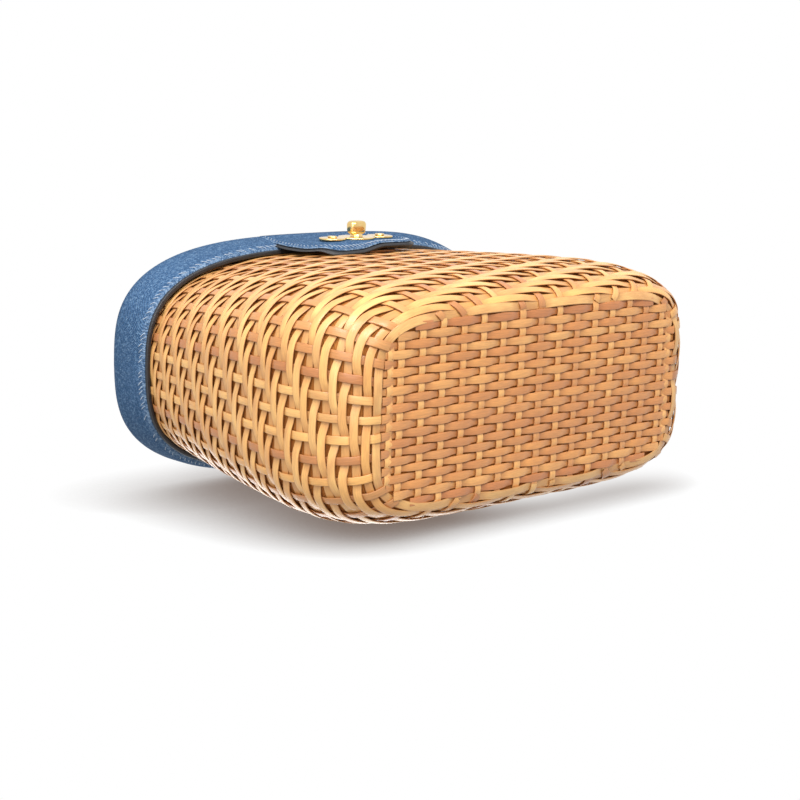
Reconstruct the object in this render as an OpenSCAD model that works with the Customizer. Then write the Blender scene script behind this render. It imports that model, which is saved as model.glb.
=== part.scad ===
// Woven cane basket bag with a denim lid, a front flap with a turn lock and a folding top handle.
// The origin is on the ground under the middle of the basket. The front is at -Y and +Z is up.

/* [Basket] */
// Width of the woven base
base_w = 190; // [180:1:200]
// Depth of the woven base
base_d = 80.5; // [77:0.5:84]
// How far the belly swells past the base at each end
belly_out_w = 22; // [18:0.5:26]
// How far the belly swells past the base at the front and the back
belly_out_d = 14.5; // [12.5:0.5:16.5]
// Height of the belly over the base
belly_h = 46; // [40:1:54]
// How late the wall draws in from the belly to the rim, 1 is straight
draw_late = 1.45; // [1.1:0.05:1.8]
// Width of the basket at the lid's lower edge
mouth_w = 219; // [212:1:226]
// Depth of the basket at the lid's lower edge
mouth_d = 101.5; // [98:0.5:105]
// Height of the lid's lower edge over the ground
lid_line = 143; // [132:1:156]
// How far the basket's rim stands up inside the lid
rim_inside = 12; // [9:1:14]
// Squareness of the base outline, where 2 is an ellipse
base_square = 5.5; // [5:0.5:8]
// Squareness of the rim outline, where 2 is an ellipse
rim_square = 2.9; // [2.7:0.1:3.2]

/* [Weave] */
// Thickness of the weave from its crests to its inner face
weave_t = 3; // [2.6:0.1:3.6]
// Height of the strip crests over the middle of the weave
crest = 0.9; // [0.6:0.1:1.2]
// Upright stakes in each end wall
end_stakes = 9; // [7:2:9]
// Upright stakes in the front wall and in the back wall
side_stakes = 15; // [13:2:15]
// Distance between the feet of the stakes in an end wall
end_pitch = 7.6; // [7:0.1:8]
// Distance between the feet of the stakes in the front and the back wall
side_pitch = 12.1; // [11.6:0.1:12.4]
// Rows of weavers up the wall
weavers = 30; // [24:1:32]
// Rings of open gaps in the wall
gap_rings = 4; // [3:1:4]
// Share of a stake's pitch that a gap takes
gap_share = 0.34; // [0.2:0.02:0.4]
// Height of a gap
gap_h = 2; // [1.4:0.1:2.4]
// Rows of the base that run from end to end
base_rows = 20; // [16:2:22]

/* [Lining and rim] */
// Thickness of the basket's cloth lining
lining_t = 1.2; // [0.8:0.1:2]
// Height of the leather binding on the rim
binding_h = 3; // [2:0.5:5]
// How far the binding stands out past the strip crests
binding_out = 0.3; // [0.2:0.1:0.6]
// Gap between soft layers that lie on each other
lay = 0.3; // [0.2:0.05:0.5]

/* [Lid] */
// How far the lid's face stands out from the middle of the weave
lid_out = 5.9; // [5.7:0.1:7]
// Height of the lid from its lower edge to its top
lid_h = 28; // [25:0.5:33]
// Radius of the lid's top edge
lid_round = 10; // [7:0.5:12]
// Squareness of the lid's outline, where 2 is an ellipse
lid_square = 3.1; // [2.9:0.1:3.5]
// How far the lid's lower edge is drawn in to the basket
lid_tuck = 1.6; // [0.8:0.1:1.8]
// Height of the drawn-in part of the lid
tuck_h = 8; // [5:0.5:9]
// Thickness of the denim cover
denim_t = 1.1; // [0.9:0.1:1.4]
// Thickness of the leather that lines the lid and the flap
leather_t = 0.9; // [0.7:0.1:1.1]
// Height of the leather piping along the lid's lower edge
piping_h = 2.2; // [1.6:0.1:3]

/* [Flap and lock] */
// Width of the front flap
flap_w = 67; // [60:1:76]
// How far the flap hangs below the lid's lower edge
flap_drop = 31; // [29:1:36]
// Radius of the flap's lower corners
flap_r = 17; // [12:1:20]
// How far the flap's leather shows past its denim
flap_border = 1.6; // [1:0.1:2.5]
// Height of the welt that joins the flap to the lid
welt_h = 6; // [4:0.5:7]
// Distance of the lock's axis below the lid's lower edge
lock_drop = 17; // [16:0.5:19]
// Radius of the lock plate's middle lobe
plate_r = 9; // [8:0.25:10]
// Radius of the lock plate's side lobes
lobe_r = 6.5; // [5:0.25:7]
// Distance of the side lobes from the lock's axis
lobe_x = 15.5; // [14:0.5:18]
// Thickness of the lock plate
plate_t = 1; // [0.8:0.1:1.4]
// Length of the turn knob
knob_l = 11.5; // [10:0.5:14]
// Radius of the turn knob at its middle
knob_r = 3.8; // [3.4:0.1:4.4]
// Clear height under the turn knob
knob_lift = 0.6; // [0.5:0.1:1.2]
// Radius of the lock's spindle
spindle_r = 1.5; // [1.2:0.1:1.8]
// Radial running clearance of the spindle and the handle pins
run_fit = 0.05; // [0.02:0.01:0.09]
// Length of the catch bar behind the flap
catch_l = 12; // [11:0.5:13]
// Width of the catch bar
catch_w = 4; // [3.6:0.1:4.4]
// Thickness of the catch bar
catch_t = 0.8; // [0.7:0.1:1.1]
// Thickness of the keeper lips and of the washer behind the flap
lip_t = 0.6; // [0.5:0.1:0.9]
// Free space on each side of a moving catch
free = 0.3; // [0.25:0.05:0.5]
// Thickness of the leather patch under the keeper
patch_t = 0.6; // [0.5:0.1:1]
// Width of the leather patch
patch_w = 36; // [32:1:44]

/* [Hinge] */
// Distance of each hinge strap from the middle
strap_x = 38; // [30:1:46]
// Width of a hinge strap
strap_w = 18; // [14:1:22]
// Thickness of a hinge strap
strap_t = 1.6; // [1.2:0.1:1.8]
// Length of the strap on the lid
tab_l = 15; // [12:0.5:16]
// Length of the strap on the basket
leaf_l = 32; // [26:1:38]
// Free height on each side of the hinge line
bend = 1.7; // [1.5:0.1:2.2]
// Radius of a rivet head
rivet_r = 2.4; // [1.8:0.1:2.8]
// Height of a rivet head
rivet_h = 0.9; // [0.6:0.1:1.2]

/* [Handle] */
// Distance of the handle's legs from the middle
leg_x = 42; // [38:0.5:48]
// Reach of the handle from its pivot to its bar
reach = 38; // [34:1:40]
// Radius of the rolled leather grip
grip_r = 4; // [3.4:0.1:4.4]
// Radius of the handle's bends
bend_r = 12; // [10:0.5:14]
// Place of the pivot ahead of the lid's middle
pivot_y = 16; // [13:0.5:18]
// Height of the pivot over the lid
pivot_h = 5.2; // [5:0.1:7]
// Radius of the pivot pins
pin_r = 1.8; // [1.5:0.1:2]
// Width of the eye at the end of the handle
eye_w = 5; // [4:0.5:6]
// Thickness of the lug's ear
ear_t = 3; // [2.4:0.2:4]
// Length of the metal end of a leg
end_l = 13; // [11:0.5:15]

/* [Hidden] */
$fn = 48;

cane = "#d9a066";
cane_dark = "#c48a52";
cloth = "#2b2622";
black_leather = "#1c1b1d";
denim = "#4a6f9e";
caramel = "#b9773a";
gold = "#d9b25a";

outline_steps = 144;
stakes = 2 * (end_stakes + side_stakes);
quarter_stakes = stakes / 4;
rows = 2 * weavers;
wall_top = lid_line + rim_inside;
inner_out = crest - weave_t;
lining_out = inner_out - lay;
gap_rows = [for (g = [1:gap_rings]) 2 * round(weavers * g / (gap_rings + 1))];
turn_rows = [0, 2, 6];
inner_rows = concat(turn_rows, gap_rows, [rows]);

lid_top = lid_line + lid_h;
lid_low = lid_line + piping_h;
lid_front = mouth_d / 2 + lid_out;
lock_z = lid_line - lock_drop;
keeper_half_h = catch_l / 2 + 1.5;
slot_half = catch_w / 2 + 0.7;
rail_in = norm([catch_l, catch_w]) / 2 + 0.5;
rail_w = 2;
rail_h = catch_t + 2 * free;
patch_low = lock_z - keeper_half_h - 5;
patch_high = lock_z + keeper_half_h + 1;
patch_back = max(half_d(patch_low - crest), half_d(patch_high - crest)) + crest + lay;
patch_front = patch_back + patch_t;
lip_front = patch_front + rail_h + lip_t;
washer_back = lip_front + free;
flap_back = max(washer_back + lip_t, lid_front + lay);
flap_mid = flap_back + leather_t;
flap_front = flap_mid + denim_t;
plate_front = flap_front + plate_t;
knob_y = plate_front + knob_lift + knob_r;
flap_top = lid_top - lid_round;
flap_low = lid_line - flap_drop;

hinge_z = lid_line + piping_h / 2;
strap_in = lid_front + 0.1;
hinge_y = strap_in + strap_t / 2;
leaf_low = hinge_z - bend - leaf_l;
leaf_in = wall_y(strap_x - strap_w / 2, leaf_low - crest) + crest + lay / 2;
leaf_tilt = atan2(strap_in - leaf_in, leaf_l);

pivot_z = lid_top + pivot_h;
eye_in = leg_x - eye_w / 2;
ear_out = eye_in - 0.3;
pin_head = 1.4;

// Power that keeps the sign of its base.
function spow(v, p) = sign(v) * pow(abs(v), p);

// Share of the belly's swelling that the wall has at a height over the base.
function swell(h) = h < belly_h ? sqrt(1 - pow(1 - max(h, 0) / belly_h, 2)) : 1;

// Share of the drawing in from the belly to the mouth at a height over the base.
function draw_in(h) = h < belly_h ? 0 : pow((h - belly_h) / (lid_line - crest - belly_h), draw_late);

function half_w(h) = base_w / 2 + belly_out_w * swell(h) - (base_w / 2 + belly_out_w - mouth_w / 2) * draw_in(h);
function half_d(h) = base_d / 2 + belly_out_d * swell(h) - (base_d / 2 + belly_out_d - mouth_d / 2) * draw_in(h);
function square_at(h) = base_square + (rim_square - base_square) * pow(min(1, h / lid_line), 0.65);

// Depth of the back wall's face at a distance from the middle and a height over the base.
function wall_y(x, h) = half_d(h) * pow(1 - pow(x / half_w(h), square_at(h)), 1 / square_at(h));

// Running length along a list of points.
function lengths(p) =
    [for (i = 0, s = 0; i < len(p); i = i + 1, s = i < len(p) ? s + norm(p[i] - p[i - 1]) : s) s];

// Rounded outline with half width a, half depth b and squareness n.
function outline(a, b, n) =
    [for (i = [0:outline_steps]) let (t = 360 * i / outline_steps) [a * spow(cos(t), 2 / n), b * spow(sin(t), 2 / n)]];

// Share of a quarter outline at stake r, counted from the middle of an end wall.
foot_quarter = lengths(outline(base_w / 2, base_d / 2, base_square))[outline_steps / 4];
function quarter_share(r) =
    (r < end_stakes / 2 ? r * end_pitch : foot_quarter - (quarter_stakes - r) * side_pitch) / foot_quarter;

// Share of the whole outline at stake i.
function stake_share(i) =
    let (q = floor(i / quarter_stakes), r = i % quarter_stakes)
    (q + (q % 2 == 0 ? quarter_share(r) : 1 - quarter_share(quarter_stakes - r))) / 4;

// Points round an outline, one for each stake.
function ring(a, b, n, z) =
    let (p = outline(a, b, n), s = lengths(p), total = s[outline_steps])
    let (xs = [for (i = [0:outline_steps]) [s[i], p[i][0]]], ys = [for (i = [0:outline_steps]) [s[i], p[i][1]]])
    [for (i = [0:stakes - 1]) let (u = total * stake_share(i)) [lookup(u, xs), lookup(u, ys), z]];

// Heights at even steps of the way up the end wall, from the base at 0 to the rim at 1.
profile_h = concat([for (k = [0:24]) belly_h * (1 - cos(90 * k / 24))],
                   [for (k = [1:16]) belly_h + (wall_top - crest - belly_h) * k / 16]);
profile_s = lengths([for (h = profile_h) [half_w(h), h]]);
profile = [for (k = [0:40]) [profile_s[k] / profile_s[40], profile_h[k]]];
function level(v) = lookup(v, profile);

// Outward normal of a wall profile between two heights.
function normal(dx, dz) = [dz, -dx] / norm([dx, dz]);

// Ring of the wall at share v of the way up, moved out by o.
function wall_ring(v, o) =
    let (low = level(max(0, v - 0.004)), high = level(min(1, v + 0.004)), h = level(v))
    let (nw = normal(half_w(high) - half_w(low), high - low), nd = normal(half_d(high) - half_d(low), high - low))
    ring(half_w(h) + o * nw[0], half_d(h) + o * nd[0], square_at(h), crest + h + o * (nw[1] + nd[1]) / 2);

// Rings of the rim and of the lid, moved out from the middle of the weave by o.
function rim_ring(o, z) = ring(mouth_w / 2 + o, mouth_d / 2 + o, rim_square, z);
function lid_ring(o, z) = ring(mouth_w / 2 + o, mouth_d / 2 + o, lid_square, z);

// Twill rule: each stake passes over two weavers and under two, one step on from its neighbour.
function stake_over(i, j) = (j + 3 * i) % 4 < 2;

// Height of the weave at stake i on row k: odd rows are weavers, even rows lie between them.
function ridge(i, k) =
    k == 0 || k == rows ? 0 :
    k % 2 == 1 ? (stake_over(i, (k - 1) / 2) ? crest : 0.7 * crest) :
    stake_over(i, k / 2 - 1) && stake_over(i, k / 2) ? crest :
    stake_over(i, k / 2 - 1) || stake_over(i, k / 2) ? -0.2 * crest : -crest;

function woven_row(k) =
    let (p = wall_ring(k / rows, 0), q = wall_ring(k / rows, 1))
    [for (i = [0:stakes - 1]) p[i] + ridge(i, k) * (q[i] - p[i])];

function mix(p, q, t) = p + (q - p) * t;

// Gaps sit between every second pair of stakes, and the rings of gaps are staggered.
function has_gap(i, g) = (i + g) % 2 == 0;
function gap_at(i, row) = let (g = search(row, gap_rows)) len(g) > 0 && has_gap(i, g[0]) ? g[0] : -1;

// Left, top, right and bottom corner of a gap, between stakes i and j on row r of a list of rings.
function gap_corners(grid, i, j, r) =
    let (a = grid[r][i], b = grid[r][j], up = mix(grid[r + 1][i], grid[r + 1][j], 0.5))
    let (down = mix(grid[r - 1][i], grid[r - 1][j], 0.5), m = mix(a, b, 0.5))
    [mix(a, b, 0.5 - gap_share / 2), mix(m, up, gap_h / 2 / norm(up - m)),
     mix(a, b, 0.5 + gap_share / 2), mix(m, down, gap_h / 2 / norm(down - m))];

// Triangles of one cell of the wall, seen from outside: a plain quad, or one with a gap in an edge.
function quad(a, b, c, d) = [[a, d, c], [a, c, b]];
function cell_over_gap(a, b, c, d, g) = [[g[1], b, g[2]], [g[1], c, b], [g[1], d, c], [g[1], a, d], [g[1], g[0], a]];
function cell_under_gap(a, b, c, d, g) = [[g[3], d, g[0]], [g[3], a, d], [g[3], b, a], [g[3], c, b], [g[3], g[2], c]];
function flip(faces) = [for (f = faces) [f[0], f[2], f[1]]];

// Closed solid over a list of rings, with flat ends, or joined end to end when looped.
module loft(rings, looped = false) {
    count = len(rings[0]);
    last = len(rings) - 1;
    sides = [for (k = [0:looped ? last : last - 1]) for (i = [0:count - 1])
        let (j = (i + 1) % count, up = (k + 1) % len(rings))
        each quad(k * count + i, k * count + j, up * count + j, up * count + i)];
    ends = looped ? [] : [[for (i = [0:count - 1]) i], [for (i = [0:count - 1]) last * count + count - 1 - i]];
    polyhedron(points = [for (r = rings) each r], faces = concat(sides, ends), convexity = 6);
}

// Flat piece in the plane of the front, from y = -back out to y = -front.
module front_plate(back, front) {
    translate([0, -back, 0])
        rotate([90, 0, 0])
            linear_extrude(front - back)
                children();
}

// Tongue outline with a straight top and round lower corners.
module tongue(half, high, low, r) {
    polygon(concat([[half, high], [-half, high]],
        [for (a = [180:10:270]) [r - half + r * cos(a), low + r + r * sin(a)]],
        [for (a = [270:10:360]) [half - r + r * cos(a), low + r + r * sin(a)]]));
}

module woven_wall() {
    outer = [for (k = [0:rows]) woven_row(k)];
    inner = [for (k = inner_rows) wall_ring(k / rows, inner_out)];
    inner_last = len(inner_rows) - 1;
    inner_start = (rows + 1) * stakes;
    gaps = [for (g = [0:gap_rings - 1]) for (i = [0:stakes - 1]) if (has_gap(i, g)) [g, i]];
    outer_gaps = inner_start + (inner_last + 1) * stakes;
    inner_gaps = outer_gaps + 4 * len(gaps);
    inner_gap_row = [for (g = gap_rows) search(g, inner_rows)[0]];
    gap_points = concat(
        [for (g = gaps) each gap_corners(outer, g[1], (g[1] + 1) % stakes, gap_rows[g[0]])],
        [for (g = gaps) each gap_corners(inner, g[1], (g[1] + 1) % stakes, inner_gap_row[g[0]])]);
    per_ring = stakes / 2;
    outer_faces = [for (k = [0:rows - 1]) for (i = [0:stakes - 1])
        let (j = (i + 1) % stakes, a = k * stakes + i, b = k * stakes + j, c = b + stakes, d = a + stakes)
        let (below = gap_at(i, k), above = gap_at(i, k + 1))
        let (n = (max(below, above) * per_ring + floor(i / 2)) * 4 + outer_gaps, g = [n, n + 1, n + 2, n + 3])
        each below >= 0 ? cell_over_gap(a, b, c, d, g) : above >= 0 ? cell_under_gap(a, b, c, d, g) : quad(a, b, c, d)];
    inner_faces = [for (k = [0:inner_last - 1]) for (i = [0:stakes - 1])
        let (j = (i + 1) % stakes, a = inner_start + k * stakes + i, b = inner_start + k * stakes + j)
        let (c = b + stakes, d = a + stakes, below = gap_at(i, inner_rows[k]), above = gap_at(i, inner_rows[k + 1]))
        let (n = (max(below, above) * per_ring + floor(i / 2)) * 4 + inner_gaps, g = [n, n + 1, n + 2, n + 3])
        each flip(below >= 0 ? cell_over_gap(a, b, c, d, g) :
                  above >= 0 ? cell_under_gap(a, b, c, d, g) : quad(a, b, c, d))];
    gap_faces = [for (n = [0:len(gaps) - 1]) for (e = [0:3])
        let (o = outer_gaps + 4 * n, q = inner_gaps + 4 * n, f = (e + 1) % 4)
        each [[o + e, o + f, q + f], [o + e, q + f, q + e]]];
    edge_faces = [for (i = [0:stakes - 1])
        let (j = (i + 1) % stakes, top = rows * stakes, in_top = inner_start + inner_last * stakes)
        each concat(quad(top + i, top + j, in_top + j, in_top + i),
                    quad(inner_start + i, inner_start + j, j, i))];
    color(cane)
        polyhedron(points = concat([for (r = outer) each r], [for (r = inner) each r], gap_points),
                   faces = concat(outer_faces, inner_faces, gap_faces, edge_faces), convexity = 8);
}

// Plain weave: each row of the base passes over every second strip, and its neighbour over the others.
module woven_base() {
    half_x = base_w / 2 - lay;
    half_y = base_d / 2 - lay;
    rows_y = 2 * base_rows;
    cols = side_stakes + 1;
    edge_share = 0.985;
    quarter = [for (p = ring(half_x, half_y, base_square, 0)) if (p[0] > 1 && p[1] > 1) [p[1], p[0]]];
    under = [for (r = [0:rows_y]) for (c = [0:cols])
        let (t = edge_share * (2 * r / rows_y - 1), wide = lookup(abs(half_y * t), quarter))
        let (edge = r == 0 || r == rows_y || c == 0 || c == cols, over = (c + (r - 1) / 2) % 2 == 0)
        [wide * (2 * c / cols - 1), half_y * t, edge ? crest : r % 2 == 0 ? 1.2 * crest : over ? 0 : 1.6 * crest]];
    border = concat([for (c = [0:cols]) c], [for (r = [1:rows_y]) r * (cols + 1) + cols],
                    [for (c = [1:cols]) rows_y * (cols + 1) + cols - c], [for (r = [1:rows_y - 1]) (rows_y - r) * (cols + 1)]);
    count = len(border);
    start = len(under);
    lid_points = [for (b = border) [under[b][0], under[b][1], weave_t]];
    weave_faces = [for (r = [0:rows_y - 1]) for (c = [0:cols - 1])
        let (a = r * (cols + 1) + c, d = a + cols + 1)
        each [[a, a + 1, d + 1], [a, d + 1, d]]];
    side_faces = [for (i = [0:count - 1]) let (j = (i + 1) % count) each quad(border[i], border[j], start + j, start + i)];
    color(cane_dark)
        polyhedron(points = concat(under, lid_points), convexity = 4,
                   faces = concat(weave_faces, side_faces, [[for (i = [0:count - 1]) start + count - 1 - i]]));
}

module basket_lining() {
    shares = [for (k = inner_rows) k / rows];
    last = len(shares) - 1;
    color(cloth)
        loft(concat([for (v = shares) wall_ring(v, lining_out)],
                    [for (k = [0:last]) wall_ring(shares[last - k], lining_out - lining_t)]));
}

module rim_binding() {
    low = wall_top + lay;
    out = half_w(wall_top - crest) - mouth_w / 2 + crest + binding_out;
    in = out - crest - binding_out + lining_out - lining_t - lay;
    color(black_leather)
        loft([rim_ring(out, low), rim_ring(out, low + binding_h), rim_ring(in, low + binding_h), rim_ring(in, low)],
             looped = true);
}

module keeper_patch() {
    color(caramel)
        front_plate(patch_back, patch_front)
            tongue(patch_w / 2, patch_high, patch_low, 5);
}

// One side of the keeper: a rail that stands on the patch and a lip that reaches over the catch.
module keeper(side) {
    color(gold)
        union() {
            front_plate(patch_front, patch_front + rail_h)
                translate([side > 0 ? rail_in : -rail_in - rail_w, lock_z - keeper_half_h])
                    square([rail_w, 2 * keeper_half_h]);
            front_plate(patch_front + rail_h, lip_front)
                translate([side > 0 ? slot_half : -rail_in - rail_w, lock_z - keeper_half_h])
                    square([rail_in + rail_w - slot_half, 2 * keeper_half_h]);
        }
}

module keeper_left() { keeper(-1); }
module keeper_right() { keeper(1); }

module keeper_rivets() {
    color(gold)
        for (side = [-1, 1])
            front_plate(patch_front, patch_front + rivet_h)
                translate([side * (rail_in + rail_w + rivet_r + 1), lock_z])
                    circle(rivet_r);
}

// Lower half of a hinge strap: it leans from the hinge line in to the basket's back wall.
module hinge_leaf(side) {
    high = hinge_z - bend;
    color(black_leather)
        translate([side * strap_x - strap_w / 2, 0, 0])
            rotate([90, 0, 90])
                linear_extrude(strap_w)
                    polygon([[leaf_in, leaf_low], [leaf_in + strap_t, leaf_low],
                             [strap_in + strap_t, high], [strap_in, high]]);
}

module hinge_leaf_left() { hinge_leaf(-1); }
module hinge_leaf_right() { hinge_leaf(1); }

module hinge_leaf_rivets() {
    rise = leaf_l * 0.2;
    color(gold)
        for (side = [-1, 1], dx = [-1, 1])
            translate([side * strap_x + dx * strap_w / 4, leaf_in + strap_t, leaf_low])
                rotate([-leaf_tilt, 0, 0])
                    translate([0, 0, rise])
                        rotate([-90, 0, 0])
                            cylinder(r = rivet_r, h = rivet_h);
}

// Upper half of a hinge strap, flat on the back of the lid.
module hinge_tab(side) {
    color(black_leather)
        translate([side * strap_x - strap_w / 2, strap_in, hinge_z + bend])
            cube([strap_w, strap_t, tab_l]);
}

module hinge_tab_left() { hinge_tab(-1); }
module hinge_tab_right() { hinge_tab(1); }

module hinge_tab_rivets() {
    color(gold)
        for (side = [-1, 1], dx = [-1, 1])
            translate([side * strap_x + dx * strap_w / 4, strap_in + strap_t, hinge_z + bend + tab_l * 0.6])
                rotate([-90, 0, 0])
                    cylinder(r = rivet_r, h = rivet_h);
}

// Rings of the lid's drawn-in lower edge, from the edge up to the upright face.
function tuck_rings(out, turns) =
    [for (a = turns) lid_ring(out - lid_tuck * (1 - sin(a)), lid_low + tuck_h * (1 - cos(a)))];

// Rings of the lid's round top edge, from the upright face to the flat top.
function edge_rings(out, high, r, turns) = [for (a = turns) lid_ring(out - r * (1 - cos(a)), high - r * (1 - sin(a)))];

// Cap-shaped shell of the lid, with its face at an offset from the weave and its top at a height.
module lid_shell(out, t, high, r, tuck_step, step, inner_step) {
    loft(concat(edge_rings(out - t, high - t, r - t, [90:-inner_step:0]), tuck_rings(out - t, [90:-90:0]),
                tuck_rings(out, [0:tuck_step:90]), edge_rings(out, high, r, [0:step:90])));
}

module lid_cover() {
    color(denim)
        lid_shell(lid_out, denim_t, lid_top, lid_round, 45, 15, 45);
}

module lid_lining() {
    inset = denim_t + 0.1;
    color(black_leather)
        lid_shell(lid_out - inset, leather_t, lid_top - inset, lid_round - inset, 90, 45, 90);
}

module lid_piping() {
    out = lid_out - lid_tuck + 0.4;
    in = lid_out - lid_tuck - denim_t - leather_t - 0.3;
    chamfer = 0.6;
    high = lid_low - 0.05;
    color(black_leather)
        loft([lid_ring(out - chamfer, lid_line), lid_ring(out, lid_line + chamfer), lid_ring(out, high),
              lid_ring(in, high), lid_ring(in, lid_line)],
             looped = true);
}

module spindle_hole(r) {
    translate([0, lock_z])
        circle(r);
}

module flap() {
    color(denim)
        front_plate(flap_mid, flap_front)
            difference() {
                tongue(flap_w / 2, flap_top, flap_low, flap_r);
                spindle_hole(spindle_r + free);
            }
}

module flap_lining() {
    color(black_leather)
        front_plate(flap_back, flap_mid)
            difference() {
                tongue(flap_w / 2 + flap_border, flap_top, flap_low - flap_border, flap_r + flap_border);
                spindle_hole(spindle_r + free);
            }
}

// Welt between the lid's face and the flap's back, along the flap's sewn top.
module flap_welt() {
    color(black_leather)
        front_plate(lid_front + 0.05, flap_back)
            translate([-flap_w / 2, flap_top - welt_h])
                square([flap_w, welt_h]);
}

module lock_plate() {
    color(gold)
        front_plate(flap_front, plate_front)
            difference() {
                translate([0, lock_z])
                    union() {
                        circle(plate_r);
                        square([2 * lobe_x, lobe_r], center = true);
                        for (side = [-1, 1])
                            translate([side * lobe_x, 0])
                                circle(lobe_r);
                    }
                spindle_hole(spindle_r + run_fit);
            }
}

module lock_rivets() {
    color(gold)
        for (side = [-1, 1])
            front_plate(plate_front, plate_front + rivet_h)
                translate([side * lobe_x, lock_z])
                    circle(rivet_r);
}

module lock_washer() {
    color(gold)
        front_plate(flap_back - lip_t, flap_back)
            difference() {
                translate([0, lock_z])
                    circle(spindle_r + 3);
                spindle_hole(spindle_r + run_fit);
            }
}

// Barrel-shaped bar on a short neck.
module turn_knob() {
    end_r = knob_r * 0.72;
    color(gold)
        union() {
            translate([0, -knob_y, lock_z])
                rotate([0, 90, 0])
                    rotate_extrude()
                        polygon(concat([[0, -knob_l / 2], [end_r * 0.8, -knob_l / 2]],
                            [for (t = [-0.9:0.15:0.9]) [end_r + (knob_r - end_r) * (1 - t * t), t * knob_l / 2]],
                            [[end_r * 0.8, knob_l / 2], [0, knob_l / 2]]));
            translate([0, -plate_front - 0.2, lock_z])
                rotate([90, 0, 0])
                    cylinder(r = spindle_r + 1, h = knob_lift + knob_r - 0.2);
        }
}

module lock_spindle() {
    inner = patch_front + free + catch_t;
    color(gold)
        translate([0, -inner, lock_z])
            rotate([90, 0, 0])
                cylinder(r = spindle_r, h = plate_front + 0.2 - inner);
}

module catch_bar() {
    color(gold)
        front_plate(patch_front + free, patch_front + free + catch_t)
            translate([-catch_w / 2, lock_z - catch_l / 2])
                square([catch_w, catch_l]);
}

// Lug on the lid: a foot, an ear and a headed pin that points outwards.
module handle_lug(side) {
    ear_r = pin_r + 2;
    foot_l = 14;
    foot_w = 10;
    foot_t = 1.2;
    color(gold)
        translate([0, -pivot_y, 0])
            mirror([side < 0 ? 1 : 0, 0, 0])
                union() {
                    translate([ear_out - foot_w, -foot_l / 2, lid_top])
                        cube([foot_w, foot_l, foot_t]);
                    translate([ear_out - ear_t, -ear_r, lid_top])
                        cube([ear_t, 2 * ear_r, pivot_h]);
                    translate([ear_out - ear_t, 0, pivot_z])
                        rotate([0, 90, 0])
                            cylinder(r = ear_r, h = ear_t);
                    translate([ear_out - ear_t / 2, 0, pivot_z])
                        rotate([0, 90, 0])
                            cylinder(r = pin_r, h = ear_t / 2 + eye_w + 0.8);
                    translate([eye_in + eye_w + 0.3, 0, pivot_z])
                        rotate([0, 90, 0])
                            cylinder(r = pin_r + 1.2, h = pin_head);
                }
}

module handle_lug_left() { handle_lug(-1); }
module handle_lug_right() { handle_lug(1); }

// Metal end of a leg: an eye on the pin and a socket that holds the grip.
module handle_end(side) {
    eye_r = pin_r + 2.2;
    neck_from = pin_r + 1;
    socket_l = 6;
    socket_t = 0.4;
    color(gold)
        translate([side * leg_x, -pivot_y, pivot_z])
            difference() {
                union() {
                    rotate([0, 90, 0])
                        cylinder(r = eye_r, h = eye_w, center = true);
                    translate([0, neck_from, 0])
                        rotate([-90, 0, 0])
                            cylinder(r = eye_w / 2 - 0.4, h = end_l - socket_l - neck_from + 1);
                    translate([0, end_l - socket_l, 0])
                        rotate([-90, 0, 0])
                            cylinder(r = grip_r + socket_t, h = socket_l);
                }
                rotate([0, 90, 0])
                    cylinder(r = pin_r + run_fit, h = eye_w + 2, center = true);
            }
}

module handle_end_left() { handle_end(-1); }
module handle_end_right() { handle_end(1); }

module handle_grip() {
    leg = reach - end_l - bend_r;
    bar = leg_x - bend_r;
    color(black_leather)
        translate([0, -pivot_y, pivot_z])
            union() {
                for (side = [-1, 1]) {
                    translate([side * leg_x, end_l, 0])
                        rotate([-90, 0, 0])
                            cylinder(r = grip_r, h = leg);
                    translate([side * bar, end_l + leg, 0])
                        mirror([side < 0 ? 1 : 0, 0, 0])
                            rotate_extrude(angle = 90)
                                translate([bend_r, 0])
                                    circle(grip_r);
                }
                translate([-bar, reach, 0])
                    rotate([0, 90, 0])
                        cylinder(r = grip_r, h = 2 * bar);
            }
}

woven_wall();
woven_base();
basket_lining();
rim_binding();
keeper_patch();
keeper_left();
keeper_right();
keeper_rivets();
hinge_leaf_left();
hinge_leaf_right();
hinge_leaf_rivets();
lid_cover();
lid_lining();
lid_piping();
flap();
flap_lining();
flap_welt();
lock_plate();
lock_rivets();
lock_washer();
hinge_tab_left();
hinge_tab_right();
hinge_tab_rivets();
handle_lug_left();
handle_lug_right();
turn_knob();
lock_spindle();
catch_bar();
handle_grip();
handle_end_left();
handle_end_right();
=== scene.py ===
import bmesh
import bpy
import math
import numpy as np
from mathutils import Matrix, Vector


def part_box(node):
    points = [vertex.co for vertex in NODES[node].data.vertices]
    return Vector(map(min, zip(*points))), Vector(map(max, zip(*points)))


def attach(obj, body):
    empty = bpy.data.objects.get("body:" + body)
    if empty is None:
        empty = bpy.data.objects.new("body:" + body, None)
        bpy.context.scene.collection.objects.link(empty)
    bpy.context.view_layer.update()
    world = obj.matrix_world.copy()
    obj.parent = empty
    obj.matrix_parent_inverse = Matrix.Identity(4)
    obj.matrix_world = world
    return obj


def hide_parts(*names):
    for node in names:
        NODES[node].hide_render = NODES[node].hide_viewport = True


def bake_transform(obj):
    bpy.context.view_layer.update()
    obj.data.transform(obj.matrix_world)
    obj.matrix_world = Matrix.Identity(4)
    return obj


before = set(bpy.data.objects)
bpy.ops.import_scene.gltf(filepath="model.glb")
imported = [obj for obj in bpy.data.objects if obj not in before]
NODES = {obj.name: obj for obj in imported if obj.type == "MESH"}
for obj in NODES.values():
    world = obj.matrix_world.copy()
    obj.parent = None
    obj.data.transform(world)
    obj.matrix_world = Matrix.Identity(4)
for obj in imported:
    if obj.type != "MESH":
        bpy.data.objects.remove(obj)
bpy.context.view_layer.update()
MM = 0.001

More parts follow.
